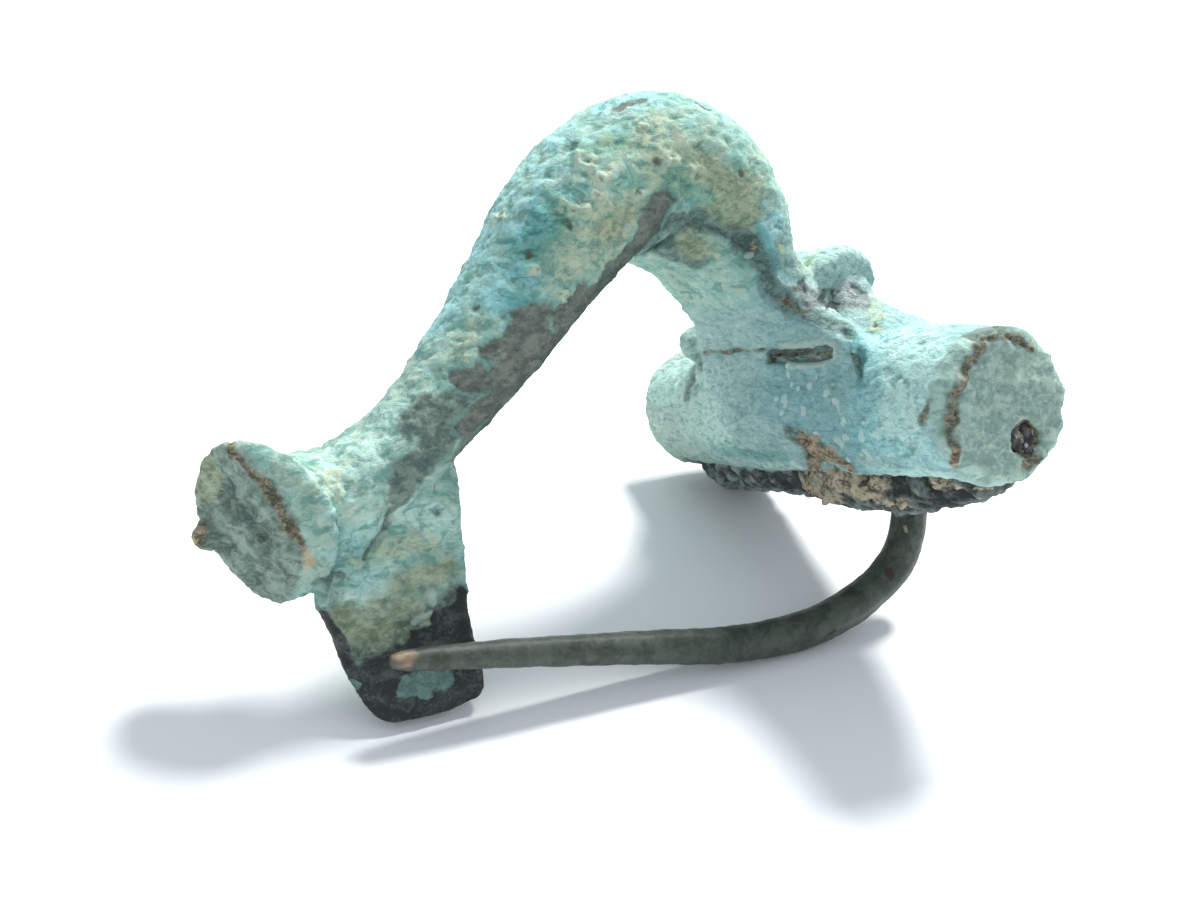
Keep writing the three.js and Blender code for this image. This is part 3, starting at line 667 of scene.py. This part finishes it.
patinaColors = {  # the darker and the lighter colour of each layer, or its one colour
    "green": ((0.25, 0.45, 0.40), (0.35, 0.54, 0.47)), "caseGreen": (0.30, 0.455, 0.435),
    "footGreen": (0.33, 0.41, 0.34), "blue": ((0.26, 0.56, 0.56), (0.42, 0.70, 0.68)),
    "mint": ((0.26, 0.39, 0.31), (0.38, 0.49, 0.37)), "light": ((0.42, 0.66, 0.59), (0.58, 0.78, 0.69)),
    # the far facet's colour is a painted highlight
    "farMintAndFacetHighlight": (0.40, 0.52, 0.43), "farFacet": (0.47, 0.72, 0.61),
    "darkStreak": (0.13, 0.26, 0.27), "paleStreak": (0.46, 0.58, 0.54),
    "darkCurl": (0.13, 0.25, 0.24), "paleCurl": (0.50, 0.62, 0.58),
    "darkCloud": (0.095, 0.245, 0.20), "paleCloud": (0.46, 0.58, 0.45),
    "hollow": (0.10, 0.23, 0.19), "ridge": (0.47, 0.57, 0.46), "cream": (0.48, 0.53, 0.36),
    "thread": (0.11, 0.19, 0.16), "endWall": ((0.17, 0.27, 0.22), (0.37, 0.48, 0.40)),
    "endRim": (0.36, 0.54, 0.47), "dish": ((0.07, 0.095, 0.075), (0.25, 0.33, 0.285)),
    "tealTint": (0.45, 0.69, 0.66), "duskTint": (0.68, 0.84, 0.90), "flecks": (0.50, 0.64, 0.60),
    # shade: painted shade for crevices and lower edges
    "shade": ((0.06, 0.09, 0.08), (0.17, 0.25, 0.22)), "wart": (0.50, 0.57, 0.44), "pit": (0.13, 0.115, 0.07),
    "dim": ((0.06, 0.085, 0.07), (0.17, 0.23, 0.19)), "bareEdge": (0.13, 0.30, 0.26),
    "bare": ((0.08, 0.095, 0.08), (0.19, 0.205, 0.17)), "paintedShadeOnBare": (0.55, 0.64, 0.62),
    "olive": ((0.16, 0.20, 0.12), (0.37, 0.42, 0.28)), "brown": ((0.05, 0.04, 0.025), (0.30, 0.25, 0.16)),
    "black": ((0.018, 0.022, 0.022), (0.075, 0.09, 0.08)),
    "onBlack": ((0.07, 0.14, 0.13), (0.13, 0.22, 0.20)),
    "rust": ((0.09, 0.06, 0.035), (0.42, 0.34, 0.22)), "grey": ((0.13, 0.155, 0.145), (0.42, 0.50, 0.48)),
    "pale": (0.42, 0.53, 0.47), "copper": (0.56, 0.32, 0.16),
}


def patina():
    material, shader, place = startMaterial("greenPatina")
    slanted = stretched(place, (0, 0.6, 0), (1, 1, 1.5))
    cloud = grain(place, 0.3, 4, 0.6, 0.4)
    mottle = grain(slanted, 0.9, 5, 0.66, 0.6)
    speck = grain(slanted, 2.4, 5, 0.7, 0.5)
    dust = grain(place, 8.0, 3, 0.65)
    streak = grain(stretched(place, (0.25, 0, 0), (1.6, 0.45, 1.6)), 2.6, 4, 0.65, 0.8)
    thread = Wire.maths("ABSOLUTE", grain(slanted, 1.15, 3, 0.6, 1.2) - 0.5).between(0.0, 0.03)
    curl = grain(slanted, 1.15, 5, 0.6, 0.7)  # clouds of green and cream that run into each other
    fineCurl = grain(stretched(place, (0.25, 0, 0), (1.2, 0.7, 1.3)), 2.8, 5, 0.66, 0.5)
    relief = painted("relief") + (speck - 0.5) * 0.5
    fray = (speck - 0.5) * 0.25 + (dust - 0.5) * 0.15
    spotty = speck.between(0.35, 0.65)
    bow = painted("onBow")
    streaky = (1 - bow) * (1 - painted("endFace"))
    bareArea = (painted("bare") + fray).between(0.42, 0.56)
    greyArea = (painted("grey") + fray).between(0.38, 0.6)

    def area(name, low=0.45, high=0.55):  # where it is painted, with a frayed edge
        return (painted(name) + fray).between(low, high)

    def tone(name, pattern):  # between a layer's two colours
        return mixed(*patinaColors[name], pattern)

    color = tone("green", (mottle + (cloud - 0.5) * 0.8).between(0.35, 0.65))

    def lay(name, share, pattern=None, blend="MIX"):  # one more layer over the ones before
        return mixed(color, tone(name, pattern) if pattern else patinaColors[name], share, blend)

    color = lay("caseGreen", (1 - bow) * 0.85)
    color = lay("footGreen", painted("sandy") * mottle.between(0.35, 0.65) * 0.8)
    color = lay("blue", area("blue", 0.2, 0.7) * 0.85, spotty)
    color = lay("mint", (mottle + cloud * 0.5).between(0.68, 0.88) * 0.6 * bow, spotty)
    color = lay("mint", area("cream", 0.25, 0.75) * 0.75, spotty)
    color = lay("light", area("light", 0.2, 0.75) * 0.7, speck.between(0.4, 0.6))
    color = lay("farMintAndFacetHighlight", area("farMintAndFacetHighlight", 0.0, 0.45) * 0.75)
    # painted highlight: the raised patch at the case's far end is made paler, as a lit facet
    color = lay("farFacet", area("farMintAndFacetHighlight", 0.6, 0.7) * 0.75)
    color = lay("darkStreak", (1 - streak).between(0.5, 0.66) * streaky * 0.55)
    color = lay("paleStreak", streak.between(0.53, 0.66) * streaky * 0.55)
    color = lay("darkCurl", (1 - fineCurl).between(0.52, 0.66) * streaky * 0.5)
    color = lay("paleCurl", fineCurl.between(0.56, 0.7) * streaky * 0.4)
    color = lay("darkCloud", (1 - curl).between(0.49, 0.63) * bow * 0.68)
    color = lay("paleCloud", curl.between(0.54, 0.68) * bow * 0.5)
    color = lay("hollow", (1 - relief).between(0.52, 0.8) * 0.65)
    color = lay("ridge", relief.between(0.62, 0.9) * 0.55)
    color = lay("cream", area("cream", 0.4, 0.8) * (speck + relief * 0.3).between(0.56, 0.76) * 0.75)
    color = lay("thread", (1 - thread) * 0.12)
    color = lay("endWall", painted("endFace") * 0.8, (curl * 0.6 + fineCurl * 0.4).between(0.42, 0.6))
    color = lay("endRim", painted("endRim").between(0.3, 0.7) * curl.between(0.4, 0.6) * 0.7)
    color = lay("dish", painted("footDish") * 0.85, (curl * 0.6 + speck * 0.4).between(0.38, 0.6))
    color = lay("tealTint", area("teal", 0.15, 0.75) * 0.75, blend="MULTIPLY")
    color = lay("duskTint", area("dusk", 0.1, 0.9), blend="MULTIPLY")
    color = lay("flecks", area("flecks", 0.25, 0.75) * 0.65)
    # painted shade in crevices and along lower edges, and the darker band on the plate
    color = lay("shade", area("shade", 0.3, 0.75) * 0.85, (speck + (curl - 0.5) * 0.6).between(0.38, 0.66))
    color = lay("wart", painted("wartRing").between(0.2, 0.7) * 0.6)
    color = lay("pit", painted("pits").between(0.25, 0.8) * 0.75)
    color = lay("dim", area("dim", 0.3, 0.6) * 0.85, (speck + (mottle - 0.5)).between(0.35, 0.65))
    color = lay("bareEdge", area("bare", 0.28, 0.45) * 0.65)
    color = lay("bare", bareArea * 0.95, (speck + (curl - 0.5)).between(0.3, 0.7))
    # painted shade: bare metal made darker again where the shade strokes lie
    color = lay("paintedShadeOnBare", bareArea * area("shade", 0.3, 0.9), blend="MULTIPLY")
    color = lay("olive", area("olive", 0.2, 0.75) * 0.75, (speck * 0.6 + curl * 0.4).between(0.38, 0.6))
    color = lay("brown", area("brown", 0.25, 0.7) * 0.85, (speck + (dust - 0.5) * 0.4).between(0.4, 0.66))
    color = lay("black", area("black", 0.42, 0.58), (mottle + (dust - 0.5) * 0.6).between(0.42, 0.72))
    color = lay("onBlack", area("black") * area("teal", 0.4, 0.55), speck.between(0.4, 0.6))
    color = lay("rust", area("rust", 0.3, 0.65) * 0.9, (speck + (mottle - 0.5) * 0.6).between(0.38, 0.64))
    color = lay("grey", greyArea * 0.9, (painted("chips") + (speck - 0.5)).between(0.3, 0.85))
    color = lay("pale", area("pale", 0.3, 0.7) * 0.65)
    color = lay("copper", area("copper", 0.2, 1.0) * 0.75)

    gloss = area("bare") * 0.12 + area("black") * 0.22 + greyArea * 0.4 + area("copper") * 0.3
    bump = bumpOf(speck * 0.55 + dust * 0.2 + thread * 0.1 + curl * 0.4
                  + (streak * 0.5 + fineCurl * 0.5) * streaky, 0.12)
    feed(shader, color=color, rough=0.88 - gloss, metal=area("copper", 0.5, 0.9) * 0.4,
         normal=bump, gloss=0.35)
    return material


makeCasting()
print("casting done, spring and pin next")

wireWork = {
    "half": 11.5, "taper": 0.33, "forward": 0.8,  # half its length, and how its near end is eaten and shifted
    "pitch": 1.5, "coreShift": (0.3, 0.0, -0.55),  # from turn to turn, and from the rod to the coil's middle
    "turnDepth": 0.34, "turnRadii": (2.1, 2.4, 3.0, 3.2),  # gaps between turns: depth, and where they fade
    "coilRadii": (3.3, 3.8), "coilEnd": 12.0, "coilLow": -6.0, "coilAcross": 3.6,  # what is coil, not pin
    "voxel": 0.11, "soften": 4, "triangles": 120000,
    "lump": 0.17, "lumpSize": 1.1, "wrinkle": 0.08, "wrinkleSize": 0.4,
    "pinLump": 0.035, "pinWrinkle": 0.012, "soilHeight": 0.12, "soilLump": 0.15, "clogSize": 2.2,
    "paintEdge": (0.42, 0.58),
}
springStrokes = {
    "soil": [
        (0.9, (-1.8, 0.4, -3.4), (-1.8, -3.0, -3.5), (-1.8, -5.2, -3.5)),
        (0.5, (-1.8, -2.0, -4.0), (-1.2, -4.4, -4.6), (-0.8, -6.0, -4.9)),
        (0.55, (-0.9, -1.2, -4.7), (-1.0, 1.0, -4.4)),
        (0.4, (-1.0, -8.8, -3.3), (-0.2, -11.4, -3.4)),
    ],
    # copper at the pin's tip, with a painted highlight at its end and a painted glint streak along the pin
    "copper": [
        (0.5, (-25.7, -2.9, -7.5), (-25.4, -3.1, -7.3)),
        (0.22, (-25.5, -3.0, -7.2), (-23.2, -3.0, -7.2)),
    ],
    "spots": [(0.32, (0.8, -2.6, -8.5), (0.9, -2.6, -8.7)), (0.2, (-3.2, -2.6, -10.9), (-3.0, -2.6, -10.8))],
    "pale": [(0.22, (2.2, -2.3, -6.3), (2.3, -2.3, -6.5)), (0.1, (-22.6, -2.6, -8.0), (-21.8, -2.6, -8.1))],
}


def makeSpring():
    piece = copyOfNode("spring_and_pin", "springAndPin")
    middle = np.array(standing["rod"]) + np.array(wireWork["coreShift"])
    addModifier(piece, "REMESH", mode="VOXEL", voxel_size=wireWork["voxel"])
    addModifier(piece, "SMOOTH", factor=0.5, iterations=wireWork["soften"])
    start = placesOf(piece)
    normals = normalsOf(piece)
    print("  spring is sculpted with", len(start), "vertices")

    # Where each point is on the coil, which is round its middle but eaten away towards its near end.
    along = start[:, 1] - middle[1]
    eaten = np.clip(-along / wireWork["half"], 0, 1) ** 5
    across = start[:, 0] - middle[0] + wireWork["forward"] * eaten
    upward = start[:, 2] - middle[2]
    out = np.hypot(across, upward) / (1 - wireWork["taper"] * eaten)
    turn = (along / wireWork["pitch"] + np.arctan2(upward, across) / (2 * math.pi)) % 1
    wire = np.sqrt(np.clip(1 - (2 * turn - 1) ** 2, 0, 1))
    inFrom, inTo, outFrom, outTo = wireWork["turnRadii"]
    onTurns = ramp(out, inFrom, inTo) * (1 - ramp(out, outFrom, outTo))
    onTurns *= np.abs(along) < wireWork["half"] + 0.3
    inside = (np.abs(along) < wireWork["coilEnd"]) & (np.abs(across) < wireWork["coilAcross"])
    inCoil = np.maximum(1 - ramp(out, *wireWork["coilRadii"]), inside & (start[:, 2] > wireWork["coilLow"]))

    warp = warpOf(start)
    paint = {name: brushed(start, warp, strokes) for name, strokes in springStrokes.items()}
    soil = ramp(paint["soil"], *wireWork["paintEdge"])
    lump = cloudAt(start, wireWork["lumpSize"], 3, 5.0)
    fine = cloudAt(start, wireWork["wrinkleSize"], 3, 9.0)
    clogged = ramp(cloudAt(start, wireWork["clogSize"], 2, 31.0), 0.0, 0.5)  # turns grown together
    gaps = onTurns * (1 - wire) * (1 - 0.75 * clogged) * (1 - 0.6 * soil)
    height = inCoil * (wireWork["lump"] * lump + wireWork["wrinkle"] * fine)
    height += (1 - inCoil) * (wireWork["pinLump"] * lump + wireWork["pinWrinkle"] * fine)
    height -= wireWork["turnDepth"] * gaps
    height += soil * inCoil * (wireWork["soilHeight"] + wireWork["soilLump"] * fine)
    setPlaces(piece, start + normals * height[:, None])

    for name, values in paint.items():
        keep(piece, name, values)
    keep(piece, "relief", 0.5 + 1.6 * height)
    keep(piece, "coil", inCoil)
    keep(piece, "farPart", ramp(start[:, 1], -5, 0) * inCoil)
    thinTo(piece, wireWork["triangles"])
    print("  and keeps", len(piece.data.polygons), "triangles")
    piece.data.materials.append(darkBronze())
    layDown(piece, "pin", "dark_bronze_wire", "spring_and_pin")


bronzeColors = {  # the darker and the lighter colour of each layer, or its one colour
    "wire": ((0.03, 0.04, 0.03), (0.066, 0.083, 0.062)), "brownSpeck": (0.10, 0.085, 0.05),
    "spots": (0.03, 0.014, 0.006), "pale": (0.34, 0.32, 0.23),
    "crust": ((0.016, 0.02, 0.018), (0.115, 0.145, 0.13)), "crustRidge": (0.30, 0.34, 0.29),
    "farCrust": ((0.05, 0.06, 0.055), (0.34, 0.42, 0.40)),
    "soil": ((0.05, 0.04, 0.03), (0.48, 0.42, 0.30)), "redSoil": (0.34, 0.20, 0.11),
    # the copper's lighter colour, near white, is a painted highlight on the pin's tip
    "copper": ((0.55, 0.33, 0.21), (1.0, 0.85, 0.72)),
}


def darkBronze():
    material, shader, place = startMaterial("darkBronze")
    mottle = grain(place, 0.9, 6, 0.65, 0.5)
    speck = grain(place, 3.0, 5, 0.7, 0.3)
    dust = grain(place, 10.0, 3, 0.6)
    fray = (speck - 0.5) * 0.35 + (dust - 0.5) * 0.15
    coil = painted("coil")
    # bare copper at the pin's tip, which also carries the painted highlight and glint streak
    bare = (painted("copper") + (speck - 0.5) * 0.1).between(0.15, 0.9)
    high = painted("relief") + (speck - 0.5) * 0.7

    def area(name, low=0.42, high=0.56):
        return (painted(name) + fray).between(low, high)

    def tone(name, pattern):
        return mixed(*bronzeColors[name], pattern)

    color = tone("wire", (mottle + (speck - 0.5) * 0.5).between(0.38, 0.64))
    color = mixed(color, bronzeColors["brownSpeck"], speck.between(0.6, 0.7) * 0.5)
    color = mixed(color, bronzeColors["spots"], area("spots") * 0.9)
    color = mixed(color, bronzeColors["pale"], area("pale") * 0.85)
    crust = tone("crust", high.between(0.35, 0.65))
    crust = mixed(crust, bronzeColors["crustRidge"], high.between(0.6, 0.8) * 0.75)
    farCrust = tone("farCrust", (high + (mottle - 0.5)).between(0.35, 0.8))
    crust = mixed(crust, farCrust, painted("farPart") * 0.8)
    color = mixed(color, crust, coil)
    soil = tone("soil", (mottle * 0.5 + speck * 0.5).between(0.42, 0.56))
    soil = mixed(soil, bronzeColors["redSoil"], mottle.between(0.58, 0.68) * 0.5)
    color = mixed(color, soil, area("soil", 0.3, 0.65) * 0.95)
    # copper, turning to a near-white painted highlight where the paint is thickest
    color = mixed(color, tone("copper", painted("copper").between(0.45, 0.9)), bare)
    feed(shader, color=color, rough=0.5 + coil * 0.35 - bare * 0.15, metal=bare * 0.2,
         normal=bumpOf(speck * 0.7 + dust * 0.3, 0.04), gloss=0.4)
    return material


makeSpring()
print("spring done, rod next")

ironRod = {
    "radius": 0.74, "length": 25.3, "sides": 40, "bevel": 0.12, "voxel": 0.09,
    "lump": 0.09, "lumpSize": 0.4,
    "lobe": 0.16, "lobeGap": 0.16, "lobesFrom": 12.0,  # its worn ends show two lobes
    "rust": ((0.02, 0.02, 0.022), (0.12, 0.11, 0.10)), "glint": (0.50, 0.52, 0.53),
}


def makeRod():
    bpy.ops.mesh.primitive_cylinder_add(vertices=ironRod["sides"], radius=ironRod["radius"],
                                        depth=ironRod["length"], rotation=(math.pi / 2, 0, 0),
                                        location=standing["rod"])
    piece = bpy.context.active_object
    piece.name = "ironRod"
    bpy.ops.object.transform_apply(location=True, rotation=True, scale=True)
    addModifier(piece, "BEVEL", width=ironRod["bevel"], segments=3, limit_method="ANGLE")
    addModifier(piece, "REMESH", mode="VOXEL", voxel_size=ironRod["voxel"])
    start = placesOf(piece)
    x, y, _ = start.T
    split = 1 - ramp(np.abs(x - standing["rod"][0]), 0.0, ironRod["lobeGap"])
    split *= np.abs(y) > ironRod["lobesFrom"]
    height = ironRod["lump"] * cloudAt(start, ironRod["lumpSize"], 3, 2.0) - ironRod["lobe"] * split
    setPlaces(piece, start + normalsOf(piece) * height[:, None])
    keep(piece, "relief", 0.5 + height * 3)
    piece.data.materials.append(rustedIron())
    layDown(piece, "casting", "corroded_iron", "spring_axis")


def rustedIron():
    material, shader, place = startMaterial("rustedIron")
    mottle = grain(place, 2.4, 5, 0.7, 0.4)
    glint = cells(place, 1.6)
    color = mixed(*ironRod["rust"], (mottle + painted("relief") * 0.4).between(0.6, 0.85))
    color = mixed(color, ironRod["glint"], (1 - glint).between(0.62, 0.74) * 0.85)
    feed(shader, color=color, rough=0.55, metal=0.3, normal=bumpOf(mottle, 0.08), gloss=0.5)
    return material


makeRod()
print("rod done, table, lights and camera next")

studio = {
    "tableSize": 3.0, "tableColor": (0.90, 0.91, 0.92),
    "sunDirection": (0.44, 0.37, 0.82), "sunAway": 0.32, "sunSize": 0.1, "sunPower": 1.85,
    "skyColor": (0.86, 0.93, 1.0), "skyStrength": 0.75,
}
viewer = {  # standing upright, like the brooch: millimetres and degrees
    "place": (-49.70, -66.20, 5.70), "turn": (85.273, 5.843, -29.093),
    "lens": 48.0, "sensor": 36.0, "nearest": 2.0,
}


def makeTable():
    bpy.ops.mesh.primitive_plane_add(size=studio["tableSize"])
    table = bpy.context.active_object
    table.name = "table"
    material, shader, _ = startMaterial("whiteTable")
    feed(shader, color=(*studio["tableColor"], 1), rough=0.6, gloss=0.2)
    table.data.materials.append(material)


def makeLights():
    world = bpy.data.worlds.new("sky")
    world.use_nodes = True
    background = world.node_tree.nodes["Background"]
    background.inputs["Color"].default_value = (*studio["skyColor"], 1)
    background.inputs["Strength"].default_value = studio["skyStrength"]
    bpy.context.scene.world = world
    direction = Vector(studio["sunDirection"]).normalized()
    bpy.ops.object.light_add(type="AREA", location=direction * studio["sunAway"])
    lamp = bpy.context.active_object
    lamp.rotation_euler = direction.to_track_quat("Z", "Y").to_euler()
    lamp.data.shape = "DISK"
    lamp.data.size = studio["sunSize"]
    lamp.data.energy = studio["sunPower"]


def makeCamera():
    turn = turnUpright.inverted() @ Euler([math.radians(angle) for angle in viewer["turn"]]).to_matrix()
    bpy.ops.object.camera_add(location=upright.inverted() @ Vector(viewer["place"]),
                              rotation=turn.to_euler())
    camera = bpy.context.active_object
    camera.data.lens = viewer["lens"]
    camera.data.sensor_width = viewer["sensor"]
    camera.data.clip_start = viewer["nearest"] * mm
    bpy.context.scene.camera = camera


makeTable()
makeLights()
makeCamera()
bpy.context.scene.view_settings.view_transform = "Standard"
print("all made")
